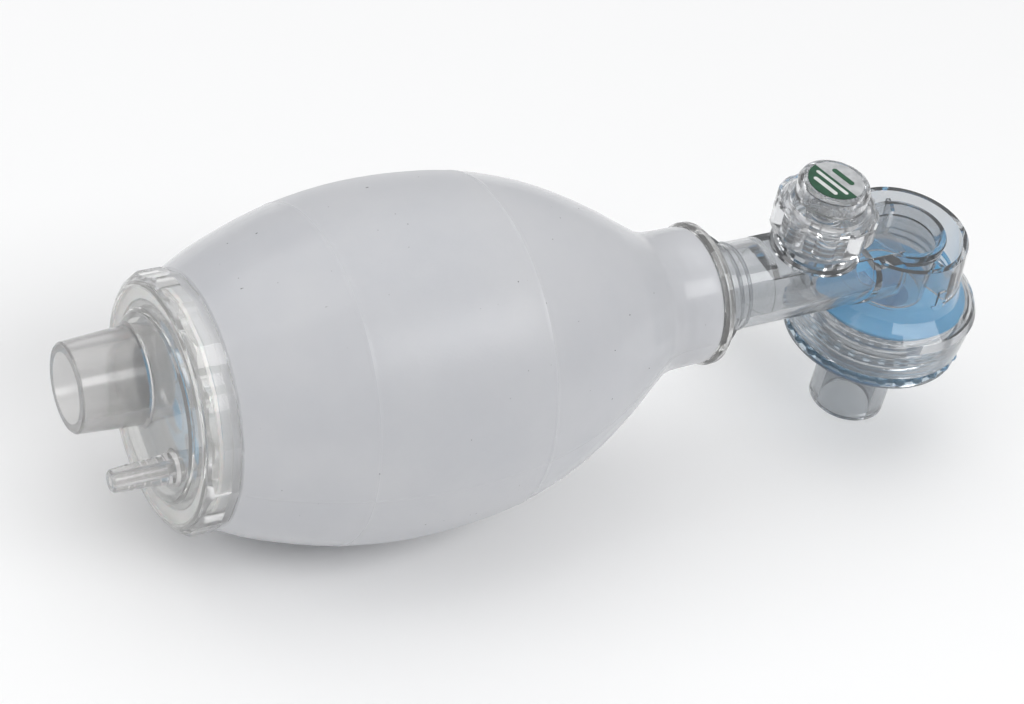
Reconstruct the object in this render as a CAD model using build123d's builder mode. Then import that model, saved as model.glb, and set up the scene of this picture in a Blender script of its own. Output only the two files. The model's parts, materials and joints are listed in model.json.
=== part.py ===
# Child-size silicone resuscitator: squeeze bag, intake end with reservoir port and oxygen nipple,
# patient valve on a swivel, and a spring-loaded pressure relief valve.
#
# It is drawn with the bag's axis along X (patient valve towards +X) and the patient valve's axis
# along Z, both through one point.  At the end every piece is pitched about Y and moved, so that
# the belly of the bag and the rim of the patient port both stand on Z = 0.
from build123d import *
import math
import os

os.makedirs("parts", exist_ok=True)

# ---- driving dimensions, millimetres -----------------------------------------------------------
FIT = 0.3                     # gap between neighbouring pieces
SLIDE_FIT = 0.06              # running clearance on the radius
SNUG = 0.03                   # gap of a pressed and bonded joint
THREAD_PITCH = 1.6

# bag
BELLY_R = 46.5
BELLY_X = -157.0
BAG_WALL = 2.4
NECK_R = 18.7
NECK_END_X = -68.5            # open end of the silicone neck
NECK_ROOT_X = -81.0           # where the neck runs into the bag
MOUTH_X = -213.2              # where the bag comes out of the retaining ring
MOUTH_R = 33.0
BEAD_R = 30.2
BEAD_X0, BEAD_X1 = -217.7, -215.6
THROAT_R = 29.4
PANEL_HALF_X, PANEL_HALF_Y = 32.0, 22.0   # stretch of the upper wall that gives under a hand

# intake end
RING_CORNER_R = 33.4
RING_SIDES = 16
RING_SCALLOP = 0.45           # depth of the hollow between two ridges of the ring
RING_X0, RING_X1 = -221.8, -213.5
RING_EDGE_R = 0.3
RING_BORE_R = 30.6
COVER_R = 30.2
COVER_FLANGE_R = 31.2
COVER_FACE_X = -223.6
COVER_BACK_X = -218.8
BOSS_R = 24.4
PORT_Y = 11.8                 # reservoir port, off the bag's axis
PORT_FACE_X = -241.2
PORT_STUB_X = -215.4
PORT_RIM_R = 11.6
PORT_ROOT_R = 12.7
PORT_BORE_R = 9.1
NIPPLE_Y, NIPPLE_Z = -16.5, -5.2
NIPPLE_TIP_X = -240.2
NIPPLE_BORE_R = 1.3
SEAT_R = 26.1
SEAT_X0, SEAT_X1 = -212.2, -210.4
SEAT_PORTS = 6
FLAP_R = 21.5
FLAP_X = -210.1
FLAP_LIFT = 1.5

# neck and swivel
TUBE_R = 12.0
TUBE_BORE_R = 9.6
TUBE_X0 = -89.0
COLLAR_R = 19.5
COLLAR_X0, COLLAR_X1 = -68.3, -64.2
SLEEVE_R = 15.95
SLEEVE_BORE_R = 12.75
SLEEVE_X0 = -86.1
BEARING_X = -71.0
SHOULDER_R = 15.5
SHOULDER_X1 = -60.2
O_RING_X = -76.0
O_RING_SECTION_R = 0.75
CLIP_X0, CLIP_X1 = -87.6, -86.4

# patient valve
RIM_Z = 7.8
RIM_R = 18.6
VALVE_WALL = 1.6
CUP_R = 12.3
CUP_BORE_R = 9.9
CUP_RIM_Z = 8.2
CUP_FOOT_Z = -11.0
CEILING_Z = 3.8
CEILING_THICK = 1.4
SKIRT_R = 27.0
SKIRT_BORE_R = 24.7
SKIRT_FOOT_Z = -24.8
BASE_R = 23.5
BASE_TOP_Z = -14.7
BASE_FLANGE_R = 25.4
BASE_FOOT_Z = -29.4
CHAMBER_R = 20.6
BEAD_COUNT = 28
BEAD_BALL_R = 1.7
PORT_FOOT_Z = -56.0
PATIENT_R = 11.0              # 22 mm male connector
PATIENT_BORE_R = 7.5          # 15 mm female connector
DISC_R = 22.4
DISC_Z0, DISC_Z1 = -14.4, -13.3
LIP_FOOT_Z = -21.8
RIB_TURN = 69.5               # degrees each side of +X
ARROW_TURN = -81.5

# pressure relief valve
TURRET_X = -30.0
DECK_Z = 8.4
DECK_X0, DECK_X1 = -46.3, -15.0
DECK_HALF = 8.7
TURRET_R = 12.0
TURRET_Z0, TURRET_Z1 = 8.5, 21.4
TURRET_BORE_R = 9.3
SEAT_Z = 11.9                 # relief seat ridge
RELIEF_HOLE_R = 4.4
KNOB_R = 13.0
LOBE_R = 3.4
LOBE_COUNT = 9
LOBE_PITCH_R = 11.3
KNOB_Z0, KNOB_Z1 = 14.7, 25.0
KNOB_BORE_R = 12.0
KNOB_CEILING_Z = 23.6
CAP_R = 10.1
CAP_Z0, CAP_Z1 = 26.5, 31.9
LABEL_R = 7.7
LABEL_THICK = 0.2
LABEL_TURN = -74.0              # direction of the label's dividing line, degrees from +X
STEM_R = 1.7
SPRING_R = 4.8
SPRING_WIRE_R = 0.4
SPRING_TURNS = 5

X_PROFILE = Plane(origin=(0, 0, 0), x_dir=(1, 0, 0), z_dir=(0, -1, 0))
TURRET_PROFILE = Plane(origin=(TURRET_X, 0, 0), x_dir=(1, 0, 0), z_dir=(0, -1, 0))
TURRET_AXIS = Axis((TURRET_X, 0, 0), (0, 0, 1))
PORT_PROFILE = Plane(origin=(0, PORT_Y, 0), x_dir=(1, 0, 0), z_dir=(0, -1, 0))
PORT_AXIS = Axis((0, PORT_Y, 0), (1, 0, 0))
NIPPLE_PROFILE = Plane(origin=(0, NIPPLE_Y, NIPPLE_Z), x_dir=(1, 0, 0), z_dir=(0, -1, 0))
NIPPLE_AXIS = Axis((0, NIPPLE_Y, NIPPLE_Z), (1, 0, 0))

pieces = []


def keep(piece, name):
    """Label a finished piece and remember it for export."""
    piece.part.label = name
    pieces.append(piece.part)


def turn(points, axis=Axis.Z, plane=X_PROFILE, mode=Mode.ADD):
    """Revolve a closed outline: (radius, height) about an upright axis, (x, radius) about X."""
    with BuildSketch(plane) as outline:
        with BuildLine():
            Polyline(*points, close=True)
        make_face()
    revolve(outline.sketch, axis=axis, mode=mode)


def thread(radius, depth, start, turns, step):
    """Outline points of a thread's crests and roots, as (radius, height)."""
    points = []
    for number in range(turns):
        foot = start + number * step
        points += [(radius, foot), (radius + depth, foot + 0.3 * step)]
        points += [(radius + depth, foot + 0.5 * step), (radius, foot + 0.8 * step)]
    return points


def gas_way(x0, x1, radius, ceiling):
    """Bore a passage along X whose roof is flat at the height `ceiling`."""
    with BuildSketch(Plane.YZ.offset(x0)) as section:
        Circle(radius)
        with Locations((0, ceiling + radius)):
            Rectangle(2 * radius, 2 * radius, mode=Mode.SUBTRACT)
    extrude(section.sketch, amount=x1 - x0, mode=Mode.SUBTRACT)


def bag_skin(inset):
    """The belly of the bag as (x, radius) points, `inset` inside the outer skin."""
    shape = [(-195.0, 40.6), (-177.0, 45.0), (BELLY_X, BELLY_R), (-137.0, 44.9)]
    shape += [(-117.0, 39.2), (-98.0, 29.2), (-87.0, 21.9)]
    return [(x, radius - inset) for x, radius in shape]


# ---- squeeze bag -------------------------------------------------------------------------------
with BuildPart() as squeeze_bag:
    with BuildSketch(X_PROFILE):
        with BuildLine():
            skin = Spline((MOUTH_X, MOUTH_R), *bag_skin(0), (NECK_ROOT_X, NECK_R + 0.2))
            Polyline(skin @ 1, (NECK_END_X, NECK_R), (NECK_END_X, 0), (MOUTH_X, 0), skin @ 0)
        make_face()
    revolve(axis=Axis.X)
    throat = [(MOUTH_X, 0), (BEAD_X0, 0), (BEAD_X0, BEAD_R), (BEAD_X1, BEAD_R)]
    throat += [(BEAD_X1 + 0.3, THROAT_R), (MOUTH_X, THROAT_R)]
    turn(throat, axis=Axis.X)
    with BuildSketch(X_PROFILE):
        with BuildLine():
            hollow_x = MOUTH_X + BAG_WALL
            hollow_r = MOUTH_R - BAG_WALL + 1
            hollow = Spline((hollow_x, hollow_r), *bag_skin(BAG_WALL), (NECK_ROOT_X, SLEEVE_R + 0.25))
            Polyline(hollow @ 1, (NECK_END_X, SLEEVE_R + 0.05), (NECK_END_X, 0), (hollow_x, 0), hollow @ 0)
        make_face()
    revolve(axis=Axis.X, mode=Mode.SUBTRACT)
    mouth = [(BEAD_X0, 0), (BEAD_X0, SEAT_R + FIT), (hollow_x, SEAT_R + FIT), (hollow_x, 0)]
    turn(mouth, axis=Axis.X, mode=Mode.SUBTRACT)

with BuildPart() as squeeze_panel:
    add(squeeze_bag.part)
    with BuildSketch():
        with Locations((BELLY_X, 0)):
            Ellipse(PANEL_HALF_X, PANEL_HALF_Y)
    extrude(amount=BELLY_R + 1, mode=Mode.INTERSECT)

with squeeze_bag:
    with BuildSketch():
        with Locations((BELLY_X, 0)):
            Ellipse(PANEL_HALF_X + FIT, PANEL_HALF_Y + FIT)
    extrude(amount=BELLY_R + 1, mode=Mode.SUBTRACT)
keep(squeeze_bag, "squeeze_bag")
keep(squeeze_panel, "squeeze_panel")

# ---- intake end --------------------------------------------------------------------------------
with BuildPart() as intake_retaining_ring:
    half_turn = 180 / RING_SIDES
    half_side = RING_CORNER_R * math.sin(math.radians(half_turn))
    waist_r = RING_CORNER_R * math.cos(math.radians(half_turn)) - RING_SCALLOP
    scallop_r = (half_side ** 2 + RING_SCALLOP ** 2) / (2 * RING_SCALLOP)
    with BuildSketch(Plane.YZ.offset(RING_X0)):
        RegularPolygon(RING_CORNER_R, RING_SIDES)
        with PolarLocations(waist_r + scallop_r, RING_SIDES, start_angle=half_turn):
            Circle(scallop_r, mode=Mode.SUBTRACT)
    extrude(amount=RING_X1 - RING_X0)
    fillet(intake_retaining_ring.edges().filter_by(Axis.X), RING_EDGE_R)
    envelope = [(RING_X0, 0), (RING_X0, RING_CORNER_R - 1.9), (RING_X0 + 0.5, RING_CORNER_R - 1.1)]
    envelope += [(RING_X0 + 1.6, RING_CORNER_R), (RING_X1 - 0.8, RING_CORNER_R)]
    envelope += [(RING_X1, RING_CORNER_R - 0.8), (RING_X1, 0)]
    turn(envelope, axis=Axis.X, mode=Mode.INTERSECT)
    bore = [(RING_X0, 0), (RING_X0, RING_BORE_R), (BEAD_X1 + FIT, RING_BORE_R)]
    bore += [(BEAD_X1 + FIT, THROAT_R + FIT), (RING_X1, THROAT_R + FIT), (RING_X1, 0)]
    turn(bore, axis=Axis.X, mode=Mode.SUBTRACT)
keep(intake_retaining_ring, "intake_retaining_ring")

with BuildPart() as intake_cover:
    flange_x = RING_X0 - 0.1
    plate = [(COVER_FACE_X, 0), (COVER_FACE_X, BOSS_R - 0.6), (COVER_FACE_X + 0.6, BOSS_R)]
    plate += [(COVER_FACE_X + 0.9, BOSS_R + 0.4), (flange_x - 0.7, COVER_FLANGE_R - 0.8)]
    plate += [(flange_x - 0.3, COVER_FLANGE_R), (flange_x, COVER_FLANGE_R), (flange_x, COVER_R - 0.5)]
    plate += [(flange_x + 0.5, COVER_R), (COVER_BACK_X, COVER_R), (COVER_BACK_X, BOSS_R - 2)]
    plate += [(COVER_FACE_X + 2, BOSS_R - 2), (COVER_FACE_X + 2, 0)]
    turn(plate, axis=Axis.X)
    port_hole = [(COVER_FACE_X - 1, 0), (COVER_FACE_X - 1, PORT_ROOT_R + SNUG)]
    port_hole += [(COVER_BACK_X, PORT_ROOT_R + SNUG), (COVER_BACK_X, 0)]
    turn(port_hole, axis=PORT_AXIS, plane=PORT_PROFILE, mode=Mode.SUBTRACT)
    nipple_hole = [(COVER_FACE_X - 1, 0), (COVER_FACE_X - 1, 2.65), (COVER_BACK_X, 2.65), (COVER_BACK_X, 0)]
    turn(nipple_hole, axis=NIPPLE_AXIS, plane=NIPPLE_PROFILE, mode=Mode.SUBTRACT)
keep(intake_cover, "intake_cover")

with BuildPart() as reservoir_port:
    port = [(PORT_FACE_X, 0), (PORT_FACE_X, PORT_RIM_R - 0.5), (PORT_FACE_X + 0.5, PORT_RIM_R)]
    port += [(COVER_FACE_X - 0.8, PORT_ROOT_R), (COVER_FACE_X - SNUG, PORT_ROOT_R + 0.9)]
    port += [(COVER_FACE_X - SNUG, PORT_ROOT_R), (COVER_FACE_X + 2.4, PORT_ROOT_R)]
    port += [(PORT_STUB_X - 0.8, PORT_RIM_R), (PORT_STUB_X, PORT_RIM_R - 0.8), (PORT_STUB_X, 0)]
    turn(port, axis=PORT_AXIS, plane=PORT_PROFILE)
    port_bore = [(PORT_FACE_X, 0), (PORT_FACE_X, PORT_BORE_R), (PORT_STUB_X, PORT_BORE_R), (PORT_STUB_X, 0)]
    turn(port_bore, axis=PORT_AXIS, plane=PORT_PROFILE, mode=Mode.SUBTRACT)
keep(reservoir_port, "reservoir_port")

with BuildPart() as oxygen_nipple:
    root_x = COVER_FACE_X - 0.1
    nipple = [(NIPPLE_TIP_X, NIPPLE_BORE_R), (NIPPLE_TIP_X, 2.5), (NIPPLE_TIP_X + 0.5, 2.9)]
    for barb in range(3):
        barb_x = NIPPLE_TIP_X + 5 + 4.2 * barb
        barb_r = 3.3 + 0.25 * barb
        nipple += [(barb_x, barb_r), (barb_x + 0.3, barb_r - 0.15)]
    nipple += [(root_x - 0.9, 4.1), (root_x - 0.3, 4.6), (root_x, 4.9), (root_x, 2.62)]
    nipple += [(COVER_BACK_X - 1.5, 2.62), (COVER_BACK_X - 1.5, NIPPLE_BORE_R)]
    turn(nipple, axis=NIPPLE_AXIS, plane=NIPPLE_PROFILE)
keep(oxygen_nipple, "oxygen_nipple")

with BuildPart() as intake_gasket:
    gasket = [(COVER_BACK_X + 0.1, SEAT_R + 0.5), (COVER_BACK_X + 0.1, COVER_R), (BEAD_X0 - 0.1, COVER_R)]
    gasket += [(BEAD_X0 - 0.1, SEAT_R + 0.5)]
    turn(gasket, axis=Axis.X)
keep(intake_gasket, "intake_gasket")

with BuildPart() as intake_valve_seat:
    cup = [(COVER_BACK_X + 0.2, SEAT_R), (SEAT_X1, SEAT_R), (SEAT_X1, 0), (SEAT_X0, 0)]
    cup += [(SEAT_X0, SEAT_R - 1.8), (COVER_BACK_X + 0.2, SEAT_R - 1.8)]
    turn(cup, axis=Axis.X)
    with BuildSketch(Plane.YZ.offset(SEAT_X0)):
        with PolarLocations(13, SEAT_PORTS):
            Circle(5.2)
    extrude(amount=SEAT_X1 - SEAT_X0, mode=Mode.SUBTRACT)
    peg_x = FLAP_X + 0.9 + FLAP_LIFT + FIT
    peg = [(SEAT_X1, 0), (SEAT_X1, 2.4), (peg_x, 2.4), (peg_x, 4.4), (peg_x + 0.6, 4.4)]
    peg += [(peg_x + 1.5, 2.6), (peg_x + 1.7, 0)]
    turn(peg, axis=Axis.X)
keep(intake_valve_seat, "intake_valve_seat")

with BuildPart() as intake_flap:
    flap = [(FLAP_X, 2.8), (FLAP_X, FLAP_R), (FLAP_X + 0.6, FLAP_R), (FLAP_X + 0.9, 8), (FLAP_X + 0.9, 2.8)]
    turn(flap, axis=Axis.X)
keep(intake_flap, "intake_flap")

# ---- neck and swivel ---------------------------------------------------------------------------
with BuildPart() as neck_collar:
    journal_r = TUBE_R + SLIDE_FIT
    sleeve = [(SLEEVE_X0, SLEEVE_BORE_R), (SLEEVE_X0, SLEEVE_R - 0.4), (SLEEVE_X0 + 0.4, SLEEVE_R)]
    sleeve += [(COLLAR_X0, SLEEVE_R), (COLLAR_X0, COLLAR_R - 0.9), (COLLAR_X0 + 0.9, COLLAR_R)]
    sleeve += [(COLLAR_X0 + 2.2, COLLAR_R), (COLLAR_X1, COLLAR_R - 2.2), (COLLAR_X1, journal_r)]
    sleeve += [(BEARING_X, journal_r), (BEARING_X, SLEEVE_BORE_R)]
    turn(sleeve, axis=Axis.X)
keep(neck_collar, "neck_collar")

with BuildPart() as swivel_o_ring:
    seal_r = SLEEVE_BORE_R - O_RING_SECTION_R - 0.05
    with BuildSketch(Plane(origin=(O_RING_X, 0, seal_r), x_dir=(1, 0, 0), z_dir=(0, -1, 0))):
        Circle(O_RING_SECTION_R)
    revolve(axis=Axis.X)
keep(swivel_o_ring, "swivel_o_ring")

with BuildPart() as swivel_clip:
    with BuildSketch(Plane.YZ.offset(CLIP_X0)):
        Circle(14.6)
        Circle(TUBE_R - 0.7, mode=Mode.SUBTRACT)
        with Locations((0, -13)):
            Rectangle(5, 6, mode=Mode.SUBTRACT)
    extrude(amount=CLIP_X1 - CLIP_X0)
keep(swivel_clip, "swivel_clip")

# ---- patient valve -----------------------------------------------------------------------------
with BuildPart() as valve_body:
    wall = [(RIM_R, RIM_Z), (RIM_R + 1.2, -5), (RIM_R + 2.2, -8.6), (SKIRT_R - 3.6, -10.6)]
    wall += [(SKIRT_R - 1, -12.4), (SKIRT_R, -14.6), (SKIRT_R - 1.1, SKIRT_FOOT_Z)]
    turn([(0, RIM_Z)] + wall + [(0, SKIRT_FOOT_Z)])
    inside = [(0, RIM_Z), (RIM_R - VALVE_WALL, RIM_Z), (RIM_R - 0.7, -6), (RIM_R + 1, -10)]
    inside += [(SKIRT_BORE_R - 1.2, -11.9), (SKIRT_BORE_R, -13.4), (SKIRT_BORE_R, SKIRT_FOOT_Z)]
    inside += [(0, SKIRT_FOOT_Z)]
    turn(inside, mode=Mode.SUBTRACT)
    cup = [(0, CUP_RIM_Z), (CUP_R - 0.3, CUP_RIM_Z), (CUP_R, CUP_RIM_Z - 0.4), (CUP_R - 1, CUP_FOOT_Z)]
    turn(cup + [(0, CUP_FOOT_Z)])
    with BuildSketch(Plane.YZ.offset(TUBE_X0)):
        Circle(TUBE_R)
    extrude(amount=-TUBE_X0 - 5)
    with BuildSketch(Plane.XY.offset(DECK_Z)):
        with Locations(((DECK_X0 + 0) / 2, 0)):
            Rectangle(-DECK_X0, 2 * TUBE_R + 8)
    extrude(amount=TUBE_R, mode=Mode.SUBTRACT)
    with BuildSketch(Plane.XY.offset(DECK_Z - 2.6)):
        with Locations(((DECK_X0 + DECK_X1) / 2, 0)):
            Rectangle(DECK_X1 - DECK_X0, 2 * DECK_HALF)
    extrude(amount=2.6)
    shoulder = [(COLLAR_X1 + 0.15, 0), (COLLAR_X1 + 0.15, SHOULDER_R - 0.4), (COLLAR_X1 + 0.6, SHOULDER_R)]
    shoulder += [(SHOULDER_X1 - 1.4, SHOULDER_R), (SHOULDER_X1, SHOULDER_R - 1.6), (SHOULDER_X1, 0)]
    turn(shoulder, axis=Axis.X)
    for side in (-1, 1):
        with BuildSketch(Plane.XY.offset(RIM_Z - 3)):
            with Locations(Location((0, 0, 0), (0, 0, side * RIB_TURN))):
                with Locations(((CUP_R + RIM_R - VALVE_WALL) / 2, 0)):
                    Rectangle(RIM_R - VALVE_WALL - CUP_R + 1.6, 1.2)
        extrude(amount=-9)
    # the centre cup: a recess above its ceiling, the gas chamber below it
    recess = [(0, CUP_RIM_Z), (CUP_BORE_R + 0.7, CUP_RIM_Z), (CUP_BORE_R, CEILING_Z + CEILING_THICK)]
    recess += [(0, CEILING_Z + CEILING_THICK)]
    turn(recess, mode=Mode.SUBTRACT)
    gas_chamber = [(0, CEILING_Z), (CUP_BORE_R, CEILING_Z), (CUP_BORE_R, CUP_FOOT_Z), (0, CUP_FOOT_Z)]
    turn(gas_chamber, mode=Mode.SUBTRACT)
    # the gas way along the tube, lowered in two steps to pass under the deck and the ceiling
    gas_way(TUBE_X0, DECK_X0 - 1, TUBE_BORE_R, TUBE_BORE_R)
    gas_way(DECK_X0 - 1, DECK_X1, TUBE_BORE_R - 0.2, DECK_Z - 2.2)
    gas_way(DECK_X1, -5, TUBE_BORE_R - 0.4, CEILING_Z)
    with BuildSketch(Plane.XY.offset(DECK_Z)):
        with Locations((TURRET_X, 0)):
            Circle(6.6)
    extrude(amount=-6, mode=Mode.SUBTRACT)
    groove_r = SLEEVE_BORE_R - 2 * O_RING_SECTION_R - 0.1
    groove = [(O_RING_X - 0.85, groove_r), (O_RING_X + 0.85, groove_r), (O_RING_X + 0.85, TUBE_R + 1)]
    groove += [(O_RING_X - 0.85, TUBE_R + 1)]
    turn(groove, axis=Axis.X, mode=Mode.SUBTRACT)
    slot = [(CLIP_X0 - 0.05, TUBE_R - 0.75), (CLIP_X1 + 0.05, TUBE_R - 0.75)]
    slot += [(CLIP_X1 + 0.05, TUBE_R + 1), (CLIP_X0 - 0.05, TUBE_R + 1)]
    turn(slot, axis=Axis.X, mode=Mode.SUBTRACT)
    # plain raised arrow towards the patient port
    across, out = math.cos(math.radians(ARROW_TURN)), math.sin(math.radians(ARROW_TURN))
    arrow_r = RIM_R + 1.4
    arrow_foot = (arrow_r * across, arrow_r * out, -3.4)
    arrow_plane = Plane(origin=arrow_foot, x_dir=(-out, across, 0), z_dir=(across, out, 0))
    with BuildSketch(arrow_plane):
        with BuildLine():
            half = [(0, -4.3), (2.8, -0.3), (1.3, -0.3), (1.3, 4.2)]
            Polyline(*half, *[(-x, y) for x, y in reversed(half[1:])], close=True)
        make_face()
    extrude(amount=-1.4)
keep(valve_body, "valve_body")

with BuildPart() as valve_base:
    shell = [(0, BASE_TOP_Z), (BASE_R - 0.3, BASE_TOP_Z), (BASE_R, BASE_TOP_Z - 0.3)]
    ridges = thread(BASE_R, 0.8, BASE_TOP_Z - 0.6, 6, -THREAD_PITCH)
    shell += ridges
    shell += [(BASE_R, SKIRT_FOOT_Z - 0.2), (BASE_R + 0.6, SKIRT_FOOT_Z - 0.5)]
    shell += [(BASE_R + 0.6, BASE_FOOT_Z + 1.4), (BASE_FLANGE_R - 0.4, BASE_FOOT_Z + 1.3)]
    shell += [(BASE_FLANGE_R, BASE_FOOT_Z + 0.9)]
    shell += [(BASE_FLANGE_R, BASE_FOOT_Z + 0.5), (BASE_FLANGE_R - 0.5, BASE_FOOT_Z), (0, BASE_FOOT_Z)]
    turn(shell)
    with Locations((0, 0, (SKIRT_FOOT_Z + BASE_FOOT_Z + 0.8) / 2)):
        with PolarLocations(BASE_R + 0.9, BEAD_COUNT):
            Sphere(BEAD_BALL_R)
    chamber = [(0, BASE_TOP_Z), (CHAMBER_R, BASE_TOP_Z), (CHAMBER_R, BASE_FOOT_Z + 3.4)]
    chamber += [(CHAMBER_R - 0.8, BASE_FOOT_Z + 2.6)]
    chamber += [(PATIENT_R + SNUG, BASE_FOOT_Z + 2), (PATIENT_R + SNUG, BASE_FOOT_Z), (0, BASE_FOOT_Z)]
    turn(chamber, mode=Mode.SUBTRACT)
keep(valve_base, "valve_base")

with BuildPart() as patient_port:
    spout = [(PATIENT_R - 0.6, BASE_FOOT_Z + 2), (PATIENT_R, BASE_FOOT_Z + 1.4)]
    spout += [(PATIENT_R, BASE_FOOT_Z - SNUG), (PATIENT_R + 1.2, BASE_FOOT_Z - SNUG)]
    spout += [(PATIENT_R, BASE_FOOT_Z - 1.2)]
    spout += [(PATIENT_R, PORT_FOOT_Z + 0.5), (PATIENT_R - 0.5, PORT_FOOT_Z)]
    spout += [(PATIENT_BORE_R + 0.4, PORT_FOOT_Z), (PATIENT_BORE_R, PORT_FOOT_Z + 0.4)]
    spout += [(PATIENT_BORE_R, BASE_FOOT_Z + 1), (PATIENT_BORE_R + 1, BASE_FOOT_Z + 2)]
    turn(spout)
keep(patient_port, "patient_port")

with BuildPart() as fish_mouth_disc:
    web = [(0, DISC_Z1), (DISC_R - 0.3, DISC_Z1), (DISC_R, DISC_Z1 - 0.3), (DISC_R, DISC_Z0 + 0.2)]
    web += [(DISC_R - 0.3, DISC_Z0), (0, DISC_Z0)]
    turn(web)
    with BuildSketch(Plane.XY.offset(DISC_Z0)):
        Circle(8.6)
    with BuildSketch(Plane.XY.offset(LIP_FOOT_Z)):
        Ellipse(6.6, 1.3)
    loft()
    with BuildSketch(Plane.XY.offset(DISC_Z1)):
        Circle(7.4)
    with BuildSketch(Plane.XY.offset(LIP_FOOT_Z)):
        Ellipse(5.6, 0.3)
    loft(mode=Mode.SUBTRACT)
keep(fish_mouth_disc, "fish_mouth_disc")

# ---- pressure relief valve ---------------------------------------------------------------------
with BuildPart() as relief_turret:
    tower = [(6.4, TURRET_Z0 - 2), (6.4, TURRET_Z0), (TURRET_R + 0.7, TURRET_Z0)]
    tower += [(TURRET_R + 0.7, TURRET_Z0 + 0.8), (TURRET_R, TURRET_Z0 + 1.6)]
    tower += [(TURRET_R, KNOB_Z0 - 0.5), (TURRET_R - 0.9, KNOB_Z0 - 0.3)]
    tower += thread(TURRET_R - 0.9, 0.6, KNOB_Z0, 4, THREAD_PITCH)
    tower += [(TURRET_R - 0.9, TURRET_Z1), (TURRET_BORE_R, TURRET_Z1), (TURRET_BORE_R, SEAT_Z - 0.7)]
    tower += [(RELIEF_HOLE_R + 1.1, SEAT_Z - 0.7), (RELIEF_HOLE_R + 0.4, SEAT_Z)]
    tower += [(RELIEF_HOLE_R, SEAT_Z - 0.3), (RELIEF_HOLE_R, TURRET_Z0 - 2)]
    turn(tower, axis=TURRET_AXIS, plane=TURRET_PROFILE)
keep(relief_turret, "relief_turret")

with BuildPart() as relief_seal:
    seal_z = SEAT_Z + 0.02
    turn([(0, seal_z), (7.0, seal_z), (7.2, seal_z + 0.2), (7.2, seal_z + 1.2), (0, seal_z + 1.2)],
         axis=TURRET_AXIS, plane=TURRET_PROFILE)
keep(relief_seal, "relief_seal")

with BuildPart() as relief_poppet:
    poppet_z = SEAT_Z + 1.24
    poppet = [(0, poppet_z), (7.8, poppet_z), (8.2, poppet_z + 0.4), (8.2, poppet_z + 2.2)]
    poppet += [(7.2, poppet_z + 2.2), (7.2, poppet_z + 1.1)]
    poppet += [(STEM_R + 1, poppet_z + 1.1), (STEM_R, poppet_z + 2.1)]
    poppet += [(STEM_R, KNOB_Z1 - 0.5), (STEM_R - 0.4, KNOB_Z1), (0, KNOB_Z1)]
    turn(poppet, axis=TURRET_AXIS, plane=TURRET_PROFILE)
keep(relief_poppet, "relief_poppet")

with BuildPart() as relief_spring:
    spring_z0 = poppet_z + 1.1 + SPRING_WIRE_R + 0.02
    spring_z1 = KNOB_CEILING_Z - SPRING_WIRE_R - 0.02
    with BuildLine() as coil:
        Helix(pitch=(spring_z1 - spring_z0) / SPRING_TURNS, height=spring_z1 - spring_z0, radius=SPRING_R,
              center=(TURRET_X, 0, spring_z0))
    with BuildSketch(Plane(origin=coil.line @ 0, z_dir=coil.line % 0)):
        Circle(SPRING_WIRE_R)
    sweep(path=coil.line, is_frenet=True)
keep(relief_spring, "relief_spring")

with BuildPart() as relief_knob:
    with BuildSketch(Plane.XY.offset(KNOB_Z0)):
        with Locations((TURRET_X, 0)):
            Circle(KNOB_R)
            with PolarLocations(LOBE_PITCH_R, LOBE_COUNT):
                Circle(LOBE_R)
    extrude(amount=KNOB_Z1 - KNOB_Z0)
    lobe_tip = LOBE_PITCH_R + LOBE_R
    round_off = [(0, KNOB_Z0), (lobe_tip - 1.6, KNOB_Z0), (lobe_tip - 0.5, KNOB_Z0 + 0.6)]
    round_off += [(lobe_tip, KNOB_Z0 + 1.7), (lobe_tip, KNOB_Z1 - 3)]
    round_off += [(lobe_tip - 0.7, KNOB_Z1 - 1.3), (lobe_tip - 2, KNOB_Z1 - 0.4)]
    round_off += [(lobe_tip - 3, KNOB_Z1), (0, KNOB_Z1)]
    turn(round_off, axis=TURRET_AXIS, plane=TURRET_PROFILE, mode=Mode.INTERSECT)
    knob_bore = [(0, KNOB_Z0), (KNOB_BORE_R, KNOB_Z0), (KNOB_BORE_R, TURRET_Z1)]
    knob_bore += [(KNOB_BORE_R - 1.4, TURRET_Z1 + 0.6), (KNOB_BORE_R - 1.4, KNOB_CEILING_Z)]
    knob_bore += [(0, KNOB_CEILING_Z)]
    turn(knob_bore, axis=TURRET_AXIS, plane=TURRET_PROFILE, mode=Mode.SUBTRACT)
    with BuildSketch(Plane.XY.offset(KNOB_Z1)):
        with Locations((TURRET_X, 0)):
            Circle(STEM_R + 0.3)
            with PolarLocations(6.2, LOBE_COUNT):
                Circle(1.5)
    extrude(amount=KNOB_CEILING_Z - KNOB_Z1, mode=Mode.SUBTRACT)
    with BuildSketch(Plane.XY.offset(KNOB_Z1)):
        with Locations((TURRET_X, 0)):
            with PolarLocations(CAP_R - 1.2, LOBE_COUNT):
                Rectangle(1.4, 1.8)
    extrude(amount=CAP_Z0 - 0.05 - KNOB_Z1)
keep(relief_knob, "relief_knob")

with BuildPart() as relief_cap:
    dome = [(0, CAP_Z1 - LABEL_THICK), (LABEL_R + 0.2, CAP_Z1 - LABEL_THICK), (LABEL_R + 0.3, CAP_Z1)]
    dome += [(CAP_R - 1.4, CAP_Z1 - 0.1), (CAP_R - 0.5, CAP_Z1 - 0.7), (CAP_R, CAP_Z1 - 1.8), (CAP_R, CAP_Z0)]
    dome += [(CAP_R - 1.9, CAP_Z0), (CAP_R - 2.2, CAP_Z1 - 2.2), (0, CAP_Z1 - 1.9)]
    turn(dome, axis=TURRET_AXIS, plane=TURRET_PROFILE)
keep(relief_cap, "relief_cap")

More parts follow.
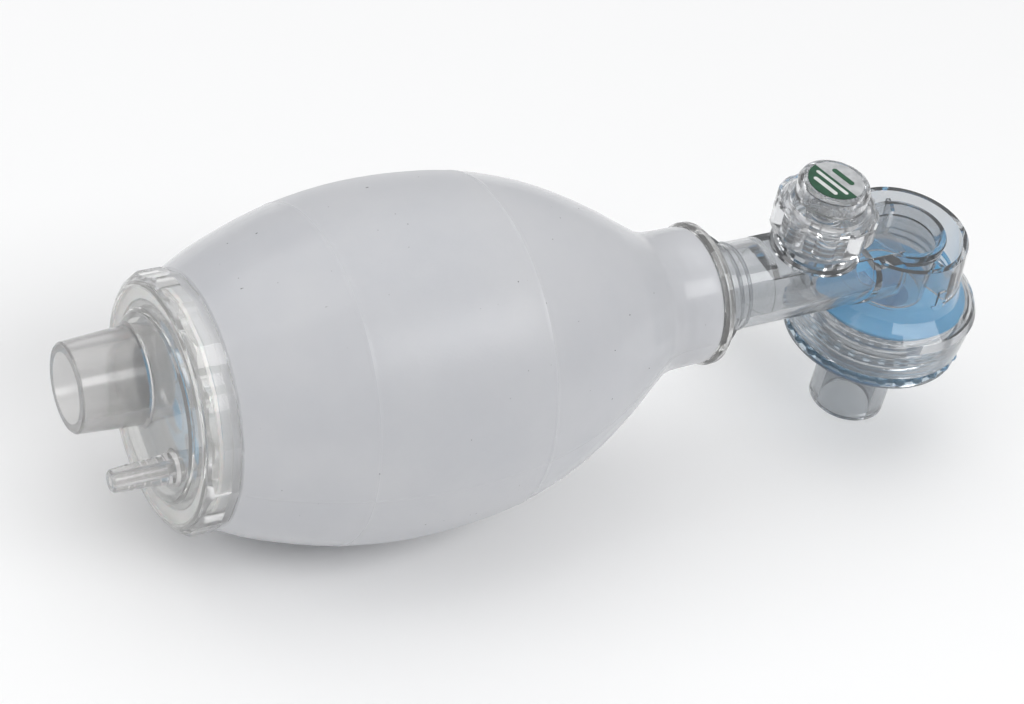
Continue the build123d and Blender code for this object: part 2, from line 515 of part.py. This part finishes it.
for side, colour in ((1, "silver"), (-1, "green")):
    with BuildPart() as label:
        with BuildSketch(Plane(origin=(TURRET_X, 0, CAP_Z1 - LABEL_THICK + 0.02))):
            Circle(LABEL_R)
            with Locations(Location((0, 0, 0), (0, 0, LABEL_TURN))):
                with Locations((0, -side * LABEL_R)):
                    Rectangle(3 * LABEL_R, 2 * LABEL_R, mode=Mode.SUBTRACT)
        extrude(amount=LABEL_THICK)
    keep(label, "label_" + colour)

# ---- set it down on its belly and on the patient port's rim, and write it out --------------------
def lowest(piece, pitch):
    """How low a piece reaches once the +X end is raised by `pitch` degrees."""
    return (Rot(0, -pitch, 0) * piece).bounding_box().min.Z


reach = -(BELLY_X + PATIENT_R)          # along X, between the two places that touch the table
pitch = 0.0
for settling in range(4):
    step = lowest(squeeze_bag.part, pitch) - lowest(patient_port.part, pitch)
    pitch += math.degrees(math.atan2(step, reach))
pitched = [Rot(0, -pitch, 0) * piece for piece in pieces]
boxes = [piece.bounding_box() for piece in pitched]
middle_x = (min(box.min.X for box in boxes) + max(box.max.X for box in boxes)) / 2
middle_y = (min(box.min.Y for box in boxes) + max(box.max.Y for box in boxes)) / 2
floor_z = min(box.min.Z for box in boxes)
for piece, drawn in zip(pitched, pieces):
    placed = Pos(-middle_x, -middle_y, -floor_z) * piece
    placed.label = drawn.label
    export_step(placed, f"parts/{placed.label}.step")
print(f"pitch {pitch:.4f} degrees, moved by {-middle_x:.4f} {-middle_y:.4f} {-floor_z:.4f}")
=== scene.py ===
import json
import math

import bmesh
import bpy
from mathutils import Matrix, Vector


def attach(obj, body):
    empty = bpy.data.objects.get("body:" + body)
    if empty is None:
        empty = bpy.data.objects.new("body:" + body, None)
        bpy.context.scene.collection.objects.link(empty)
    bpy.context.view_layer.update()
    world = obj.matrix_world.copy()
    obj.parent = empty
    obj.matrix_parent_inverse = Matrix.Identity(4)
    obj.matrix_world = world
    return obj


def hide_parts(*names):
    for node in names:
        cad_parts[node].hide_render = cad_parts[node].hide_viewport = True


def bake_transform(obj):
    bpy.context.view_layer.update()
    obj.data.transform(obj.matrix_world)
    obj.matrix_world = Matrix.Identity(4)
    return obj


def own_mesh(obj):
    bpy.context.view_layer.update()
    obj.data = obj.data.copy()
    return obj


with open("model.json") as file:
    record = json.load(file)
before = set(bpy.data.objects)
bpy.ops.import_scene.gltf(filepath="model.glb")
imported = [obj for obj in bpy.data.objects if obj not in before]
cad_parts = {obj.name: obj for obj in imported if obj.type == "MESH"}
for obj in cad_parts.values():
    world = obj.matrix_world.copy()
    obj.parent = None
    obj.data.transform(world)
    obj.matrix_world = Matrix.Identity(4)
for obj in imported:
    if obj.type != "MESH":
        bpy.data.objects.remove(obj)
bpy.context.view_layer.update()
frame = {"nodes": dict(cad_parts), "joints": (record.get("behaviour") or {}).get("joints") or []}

# ---- the frame's own axes --------------------------------------------------------------------------
# The bag's axis and the patient valve's axis come from the joints, so that every made piece follows
# the CAD wherever it stands.  Shapes below are in millimetres on those axes: x along the bag towards
# the valve, z up the patient valve, both from the point where the two axes meet.
joints = {joint["name"]: joint for joint in frame["joints"]}
ALONG = Vector(joints["valve_swivel"]["axis"]).normalized()      # bag axis, towards the valve
UP = Vector(joints["relief_lift"]["axis"]).normalized()          # patient valve's axis, upwards
SIDE = UP.cross(ALONG)                                           # away from the camera
MM = 0.001
PIVOT = Vector(joints["valve_swivel"]["pos_m"])
PIVOT_X = -70 * MM                                               # where the swivel stands along the bag
CENTRE = PIVOT - ALONG * PIVOT_X                                 # where the two axes meet
LOCAL = Matrix.Translation(CENTRE) @ Matrix((ALONG, SIDE, UP)).transposed().to_4x4()


def place(x, y, z):
    """A point given in millimetres on the part's own axes, in the row frame."""
    return LOCAL @ Vector((x * MM, y * MM, z * MM))


# ---- node helpers ----------------------------------------------------------------------------------
class Shader:
    """A material's node tree with short calls for what is used here."""

    def __init__(self, name):
        self.material = bpy.data.materials.new(name)
        self.material.use_nodes = True
        self.tree = self.material.node_tree
        self.bsdf = next(n for n in self.tree.nodes if n.type == "BSDF_PRINCIPLED")

    def node(self, kind, inputs=None, **settings):
        made = self.tree.nodes.new(kind)
        for key, value in settings.items():
            setattr(made, key, value)
        for key, value in (inputs or {}).items():
            if isinstance(value, bpy.types.NodeSocket):
                self.tree.links.new(value, made.inputs[key])
            else:
                made.inputs[key].default_value = value
        return made

    def set(self, **values):
        for key, value in values.items():
            socket = self.bsdf.inputs[key.replace("_", " ")]
            if isinstance(value, bpy.types.NodeSocket):
                self.tree.links.new(value, socket)
            else:
                socket.default_value = value
        return self

    def coordinates(self):
        return self.node("ShaderNodeTexCoord").outputs["Object"]

    def noise(self, scale, detail=4.0, roughness=0.5):
        made = self.node("ShaderNodeTexNoise", {"Vector": self.coordinates(), "Scale": scale,
                                                "Detail": detail, "Roughness": roughness})
        return made.outputs["Fac"]

    def ramp(self, fac, *stops):
        made = self.node("ShaderNodeValToRGB", {"Fac": fac})
        elements = made.color_ramp.elements
        while len(elements) < len(stops):
            elements.new(0.5)
        for element, (position, colour) in zip(elements, stops):
            element.position = position
            element.color = (*colour, 1) if len(colour) == 3 else colour
        return made.outputs["Color"]

    def mix(self, share, first, second, blend="MIX"):
        """Two colours mixed.  The node's colour sockets can only be told apart by their numbers."""
        made = self.node("ShaderNodeMix", {0: share, 6: first, 7: second}, data_type="RGBA", blend_type=blend)
        return made.outputs[2]

    def span(self, fac, low, high):
        made = self.node("ShaderNodeMapRange", {"Value": fac, "To Min": low, "To Max": high})
        return made.outputs["Result"]

    def bump(self, height, strength, distance):
        made = self.node("ShaderNodeBump", {"Height": height, "Strength": strength, "Distance": distance})
        self.set(Normal=made.outputs["Normal"])


# ---- materials -------------------------------------------------------------------------------------
def milky_silicone(name, roughness, grain):
    """The bag: milky silicone, cloudy, with dust specks; `grain` is the depth of its fine texture."""
    m = Shader(name)
    cloud = m.ramp(m.noise(22.0, 5.0, 0.6), (0.3, (0.585, 0.595, 0.625)), (0.7, (0.645, 0.65, 0.67)))
    specks = m.ramp(m.noise(640.0, 1.0), (0.185, (0.3, 0.3, 0.3)), (0.215, (1.0, 1.0, 1.0)))
    m.set(Base_Color=m.mix(1.0, cloud, specks, "MULTIPLY"))
    m.set(Roughness=m.span(m.noise(60.0), roughness, roughness + 0.06))
    m.set(Subsurface_Weight=0.4, Subsurface_Scale=0.006, Subsurface_Radius=(1.0, 1.0, 1.05), IOR=1.43)
    m.set(Transmission_Weight=0.15)
    m.bump(m.noise(1400.0, 3.0), 0.25, grain)
    return m.material


def clear_plastic(name, tint, roughness, clearness, painted_blue_see_through=None):
    """Clear moulded plastic: fine flow lines and scuffs over a see-through body.

    The last argument, if given, is a stretch of heights, in millimetres on the part's own axes, where
    a light blue band is painted into the plastic's colour: painted see-through colour for the blue disc
    inside as seen through the rim.
    """
    m = Shader(name)
    colour = m.ramp(m.noise(35.0, 3.0), (0.35, tint), (0.75, tuple(min(1.0, c + 0.02) for c in tint)))
    if painted_blue_see_through:
        bottom, top = painted_blue_see_through
        # painted see-through colour: a light blue band mixed into the tint between the given heights, for the
        # blue disc seen through the rim
        height = m.node("ShaderNodeVectorMath", {0: m.coordinates(), 1: UP}, operation="DOT_PRODUCT")
        share = m.node("ShaderNodeMapRange", {"Value": height.outputs["Value"],
                                              "From Min": UP.dot(place(0, 0, bottom)),
                                              "From Max": UP.dot(place(0, 0, top))})
        painted_see_through_share = m.ramp(share.outputs["Result"], (0.0, (0, 0, 0)), (0.2, (1, 1, 1)), (0.8, (1, 1, 1)),
                      (1.0, (0, 0, 0)))
        colour = m.mix(painted_see_through_share, colour, (0.42, 0.68, 0.90, 1))
    m.set(Base_Color=colour)
    m.set(Roughness=m.span(m.noise(180.0, 6.0, 0.7), roughness, roughness + 0.04))
    m.set(Transmission_Weight=clearness, IOR=1.49)
    m.bump(m.noise(70.0, 2.0), 0.06, 0.0006)
    return m.material


def coloured_rubber(name, dark, light, roughness, glow=0.0):
    """Matt moulded rubber or silicone; `glow` is how much light spreads under its skin."""
    m = Shader(name)
    m.set(Base_Color=m.ramp(m.noise(120.0, 4.0), (0.3, dark), (0.7, light)))
    m.set(Roughness=m.span(m.noise(300.0), roughness, roughness + 0.12))
    m.set(Subsurface_Weight=glow, Subsurface_Scale=0.002, IOR=1.42)
    m.bump(m.noise(700.0, 2.0), 0.1, 0.0002)
    return m.material


def spring_steel():
    """Drawn steel wire."""
    m = Shader("spring_steel")
    m.set(Base_Color=m.ramp(m.noise(400.0), (0.3, (0.50, 0.51, 0.53)), (0.7, (0.72, 0.73, 0.75))))
    m.set(Roughness=m.span(m.noise(900.0), 0.22, 0.38), Metallic=1.0)
    return m.material


def printed_foil(name, dark, light, metallic):
    """The label's foil and the inks printed on it."""
    m = Shader(name)
    m.set(Base_Color=m.ramp(m.noise(500.0, 5.0), (0.35, dark), (0.7, light)))
    m.set(Roughness=m.span(m.noise(350.0), 0.32, 0.46), Metallic=metallic)
    m.bump(m.noise(1500.0), 0.08, 0.0001)
    return m.material


# each clear plastic: its name, tint, roughness and clearness
BRIGHT = clear_plastic("bright_clear_plastic", (0.93, 0.93, 0.92), 0.02, 0.90)
KNOB = clear_plastic("clear_knob_plastic", (0.84, 0.85, 0.86), 0.015, 0.94)
CLEAR = clear_plastic("clear_plastic", (0.68, 0.695, 0.71), 0.015, 0.95)
# the rim's clear plastic carries a painted light blue band, painted see-through colour for the blue disc
# behind it
RIM = clear_plastic("clear_rim_plastic_painted_blue", (0.76, 0.775, 0.785), 0.015, 0.93, painted_blue_see_through=(-28.4, -24.9))
GREY = clear_plastic("grey_clear_plastic", (0.50, 0.52, 0.54), 0.03, 0.95)
CLOUDY = clear_plastic("cloudy_plastic", (0.78, 0.775, 0.77), 0.12, 0.86)
CLEARS = (BRIGHT, KNOB, CLEAR, RIM, GREY, CLOUDY)
GASKET = coloured_rubber("milky_gasket", (0.55, 0.56, 0.56), (0.68, 0.68, 0.67), 0.4, 0.3)
BLUE = coloured_rubber("blue_silicone", (0.09, 0.35, 0.60), (0.13, 0.42, 0.68), 0.4, 0.2)
BLACK = coloured_rubber("o_ring_rubber", (0.02, 0.02, 0.022), (0.045, 0.045, 0.05), 0.4)
FINISHES = {
    "intake_retaining_ring": BRIGHT, "intake_cover": BRIGHT, "oxygen_nipple": CLOUDY,
    "reservoir_port": CLOUDY, "patient_port": GREY,
    "intake_valve_seat": BRIGHT, "neck_collar": BRIGHT, "swivel_clip": BRIGHT, "valve_body": CLEAR,
    "valve_base": RIM, "relief_turret": CLEAR, "relief_poppet": BRIGHT, "relief_knob": KNOB,
    "relief_cap": KNOB, "fish_mouth_disc": BLUE, "intake_flap": BLUE, "relief_seal": BLUE,
    "intake_gasket": GASKET, "swivel_o_ring": BLACK, "relief_spring": spring_steel(),
    "label_silver": printed_foil("silver_foil", (0.44, 0.45, 0.46), (0.58, 0.59, 0.60), 0.3),
    "label_green": printed_foil("green_print", (0.008, 0.06, 0.028), (0.015, 0.09, 0.045), 0.0),
}
for name, finish in FINISHES.items():
    frame["nodes"][name].visible_shadow = finish not in CLEARS
    mesh = frame["nodes"][name].data
    mesh.materials.clear()
    mesh.materials.append(finish)


# ---- the squeeze bag -------------------------------------------------------------------------------
BELLY_X, BELLY_R = -157, 46.5
BELT_X0, BELT_X1 = -182.3, -133.5       # the grained belt round the belly, between two raised lines
PARTING_TURN = 93.0                     # where the mould's two halves met, degrees from the top
PARTING_HALF = 0.7                      # half of that line's width, degrees
PARTING_HEIGHT = 0.14
PARTING_X0, PARTING_X1 = -212, -70
BELT_LINE_HEIGHT, BELT_LINE_HALF = 0.16, 0.45
BAG_TURNS = 180                         # points round the bag, besides those on the parting line


def link(name, data, *finishes):
    """A new object in the scene, with its materials if it is a mesh."""
    made = bpy.data.objects.new(name, data)
    bpy.context.scene.collection.objects.link(made)
    for finish in finishes:
        data.materials.append(finish)
    return made


def rings_to_mesh(name, rings):
    """A smooth mesh over closed rings of points, each ring joined to the next."""
    built = bmesh.new()
    rows = [[built.verts.new(point) for point in ring] for ring in rings]
    for row, following in zip(rows, rows[1:]):
        for number, corner in enumerate(row):
            after = (number + 1) % len(row)
            built.faces.new((corner, row[after], following[after], following[number]))
    bmesh.ops.recalc_face_normals(built, faces=built.faces)
    mesh = bpy.data.meshes.new(name)
    built.to_mesh(mesh)
    built.free()
    mesh.polygons.foreach_set("use_smooth", [True] * len(mesh.polygons))
    return mesh


def smooth_curve(points, steps):
    """Points along a Catmull-Rom curve through the given (x, radius) points."""
    padded = [points[0], *points, points[-1]]
    curve = []
    for corners in zip(padded, padded[1:], padded[2:], padded[3:]):
        for step in range(steps):
            t = step / steps
            curve.append(tuple(0.5 * (2 * q + (r - p) * t + (2 * p - 5 * q + 4 * r - s) * t ** 2
                                      + (3 * q - p - 3 * r + s) * t ** 3) for p, q, r, s in zip(*corners)))
    return curve + [points[-1]]


def raised(x, radius):
    """The skin's radius with the two raised lines at the ends of the belt."""
    for edge in (BELT_X0, BELT_X1):
        radius += BELT_LINE_HEIGHT * math.exp(-((x - edge) / BELT_LINE_HALF) ** 2)
    return radius


def squeeze_bag():
    """The bag as one skin from its mouth bead to the end of its neck."""
    # the outline's points are (x, radius) in millimetres; only the belly's are joined by a curve
    mouth = [(-217.4, 29.5), (-215.8, 29.5), (-213.2, 31.2)]
    skin = [(-213.2, 33.0), (-205, 37.0), (-195, 40.6), (-186, 43.2), (-177, 45.0), (-167, 46.2)]
    skin += [(BELLY_X, BELLY_R), (-147, 46.05), (-137, 44.9), (-127, 42.6), (-117, 39.2), (-107.5, 34.7)]
    skin += [(-98, 29.2), (-92, 25.2), (-87, 21.9), (-84, 20.1), (-81, 19.2)]
    neck = [(-79.5, 18.9), (-76, 18.75), (-72, 18.7), (-69.2, 18.7), (-68.7, 18.5), (-68.5, 18.0)]
    neck.append((-68.5, 16.1))
    belly = [(x, raised(x, radius)) for x, radius in smooth_curve(skin, 24)]
    outline = [*mouth, *belly, *neck]
    turns = [360 * number / BAG_TURNS for number in range(BAG_TURNS)]
    for middle in (PARTING_TURN, PARTING_TURN + 180):
        turns += [middle + share * PARTING_HALF for share in (-1, -0.5, 0.5, 1)]
    turns.append(PARTING_TURN)
    rings = []
    for x, radius in outline:
        ring = []
        for turn in sorted(turns):
            off = min(abs(turn - PARTING_TURN), abs(turn - PARTING_TURN - 180)) / PARTING_HALF
            out = radius + (PARTING_HEIGHT * max(0.0, 1 - off) if PARTING_X0 < x < PARTING_X1 else 0.0)
            angle = math.radians(turn)
            ring.append(place(x, -out * math.sin(angle), out * math.cos(angle)))
        rings.append(ring)
    mesh = rings_to_mesh("silicone_bag", rings)
    bag = link("silicone_bag", mesh, milky_silicone("milky_silicone", 0.14, 0.00004),
               milky_silicone("grained_silicone", 0.3, 0.0002))
    to_part = LOCAL.inverted()
    for face in mesh.polygons:
        along = (to_part @ face.center).x / MM
        face.material_index = int(BELT_X0 < along < BELT_X1)
    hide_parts("squeeze_bag", "squeeze_panel")
    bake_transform(bag)


squeeze_bag()


# ---- the relief valve's spring, the tube's ridges and the label's print ----------------------------
SPRING_R, WIRE_R, SPRING_TURNS = 4.8, 0.4, 5
TURN_STEPS, WIRE_SIDES = 48, 10         # rings in each turn of the wire, points in each ring
HOOP_STEPS = 120                        # points round each moulded ridge
TURRET_X = -30.0                        # where the relief valve stands along the side tube
TUBE_R = 12.0
LABEL_TURN = math.radians(-74)          # way of the label's dividing line


def relief_spring():
    """The spring with closed ends, squashed up to the knob's ceiling."""
    foot, top = 14.66, 23.18            # heights of the wire's centre on the poppet and the ceiling
    end_rise = 0.35                     # climb of each closed end turn
    rings = []
    all_turns = SPRING_TURNS + 2        # with a closed turn at each end
    steps = TURN_STEPS * all_turns
    for step in range(steps + 1):
        share = step / steps
        angle = 2 * math.pi * all_turns * share
        climb = min(1.0, max(0.0, (share * all_turns - 0.75) / (SPRING_TURNS + 0.5)))
        ends = end_rise * (min(share * 6, 1) + max(0.0, share * 6 - 5))     # first and last sixth
        height = foot + ends + (top - foot - 2 * end_rise) * climb
        outward = Vector((math.cos(angle), math.sin(angle), 0))
        ring = []
        for number in range(WIRE_SIDES):
            around = 2 * math.pi * number / WIRE_SIDES
            point = outward * (SPRING_R + WIRE_R * math.cos(around))
            ring.append(place(TURRET_X + point.x, point.y, height + WIRE_R * math.sin(around)))
        rings.append(ring)
    spring = link("relief_coil", rings_to_mesh("relief_coil", rings), FINISHES["relief_spring"])
    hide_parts("relief_spring")
    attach(spring, "patient_valve")
    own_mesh(spring)


def print_bar(name, out, size, finish):
    """A plain printed bar along the label's dividing line, `out` millimetres to its side."""
    width, height = size
    along = Vector((math.cos(LABEL_TURN), math.sin(LABEL_TURN), 0))
    away = Vector((-along.y, along.x, 0))
    built = bmesh.new()
    top, thick = 31.98, 0.06            # just proud of the label
    corners = []
    bevel = 0.3 * height                # the corners are cut off
    for x, y in ((-1, -1), (1, -1), (1, 1), (-1, 1)):
        for dx, dy in ((0, bevel), (bevel, 0)) if x * y > 0 else ((bevel, 0), (0, bevel)):
            point = along * (x * (width / 2 - dx)) + away * (out + y * (height / 2 - dy))
            corners.append((TURRET_X + point.x, point.y))
    upper = [built.verts.new(place(x, y, top)) for x, y in corners]
    lower = [built.verts.new(place(x, y, top - thick)) for x, y in corners]
    built.faces.new(upper)
    built.faces.new(lower[::-1])
    for number, corner in enumerate(upper):
        after = (number + 1) % len(upper)
        built.faces.new((corner, lower[number], lower[after], upper[after]))
    bmesh.ops.recalc_face_normals(built, faces=built.faces)
    mesh = bpy.data.meshes.new(name)
    built.to_mesh(mesh)
    built.free()
    bar = link(name, mesh, finish)
    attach(bar, "patient_valve")


def swivel_ridges():
    """Two fine moulded ridges round the side tube, in front of the swivel's shoulder."""
    hoop = [2 * math.pi * step / HOOP_STEPS for step in range(HOOP_STEPS)]
    for number, (middle, height) in enumerate(((-58.9, 0.7), (-56.0, 0.3))):
        rings = []
        for dx, out in ((-0.6, 0.03), (-0.35, height), (0.35, height), (0.6, 0.03), (-0.6, 0.03)):
            radius = TUBE_R + out
            rings.append([place(middle + dx, radius * math.sin(turn), radius * math.cos(turn))
                          for turn in hoop])
        name = f"swivel_ridge_{number + 1}"
        ridge = link(name, rings_to_mesh(name, rings), CLEAR)
        ridge.visible_shadow = False
        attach(ridge, "patient_valve")


relief_spring()
swivel_ridges()
DARK_PRINT = printed_foil("dark_print", (0.01, 0.07, 0.03), (0.02, 0.10, 0.05), 0.0)
PALE_PRINT = printed_foil("pale_print", (0.60, 0.62, 0.60), (0.72, 0.73, 0.72), 0.0)
print_bar("print_dark", 2.9, (7.6, 1.7), DARK_PRINT)
print_bar("print_pale_long", -1.6, (11.5, 1.1), PALE_PRINT)
print_bar("print_pale_short", -4.3, (8.4, 1.3), PALE_PRINT)


# ---- floor, lights, camera -------------------------------------------------------------------------
AIM = place(BELLY_X, 0, 30)


def floor():
    """A wide pale floor that fades into the surroundings."""
    mesh = bpy.data.meshes.new("floor")
    half = 6.0
    corners = [(-half, -half, 0), (half, -half, 0), (half, half, 0), (-half, half, 0)]
    mesh.from_pydata(corners, [], [(0, 1, 2, 3)])
    m = Shader("pale_floor")
    m.set(Base_Color=(0.93, 0.93, 0.93, 1), Roughness=0.9)
    link("floor", mesh, m.material)


def softbox(name, location, size, watts, long_side=(1, 0, 0)):
    """A rectangular light `location` metres from the bag and facing it; `long_side` is its way."""
    data = bpy.data.lights.new(name, "AREA")
    data.shape = "RECTANGLE"
    data.size, data.size_y = size
    data.energy = watts
    made = link(name, data)
    back = Vector(location).normalized()
    across = (Vector(long_side) - back * back.dot(Vector(long_side))).normalized()
    turned = Matrix((across, back.cross(across), back)).transposed().to_4x4()
    made.matrix_world = Matrix.Translation(AIM + Vector(location)) @ turned


def studio():
    """Even, nearly white surroundings with three softboxes, the strip making the long glint."""
    world = bpy.data.worlds.new("studio")
    bpy.context.scene.world = world
    world.use_nodes = True
    background = world.node_tree.nodes["Background"]
    background.inputs["Color"].default_value = (0.985, 0.99, 1.0, 1)
    background.inputs["Strength"].default_value = 0.5
    strip_way = (ALONG * 0.42 - SIDE * 0.56 + UP * 0.70).normalized()
    strip_side = ALONG * 0.71 + SIDE * 0.23 - UP * 0.21
    softbox("strip_softbox", strip_way * 1.3, size=(1.1, 0.5), watts=6.5, long_side=strip_side)
    softbox("top_softbox", (-0.1, 0.5, 1.4), size=(2.2, 1.6), watts=9)
    softbox("left_softbox", (-1.2, 0.1, 0.7), size=(0.5, 0.8), watts=4, long_side=(0, 0, 1))
    bpy.context.scene.view_settings.view_transform = "Standard"


def camera():
    """A long lens above and to the left of the bag's intake end, slightly tilted."""
    azimuth, elevation, roll = math.radians(-38.634), math.radians(39.137), math.radians(17.558)
    distance, aim = 0.77663, Vector((-0.01197, 0.00167, 0.03942))
    level_reach = math.cos(elevation)
    back = Vector((math.sin(azimuth) * level_reach, -math.cos(azimuth) * level_reach, math.sin(elevation)))
    data = bpy.data.cameras.new("camera")
    data.sensor_width = 36
    data.lens = 103.54
    data.clip_start, data.clip_end = 0.05, 50
    made = link("camera", data)
    made.rotation_mode = "QUATERNION"
    level = (-back).to_track_quat("-Z", "Y")
    made.rotation_quaternion = level @ Matrix.Rotation(roll, 3, "Z").to_quaternion()
    made.location = aim + back * distance
    bpy.context.scene.camera = made


floor()
studio()
camera()
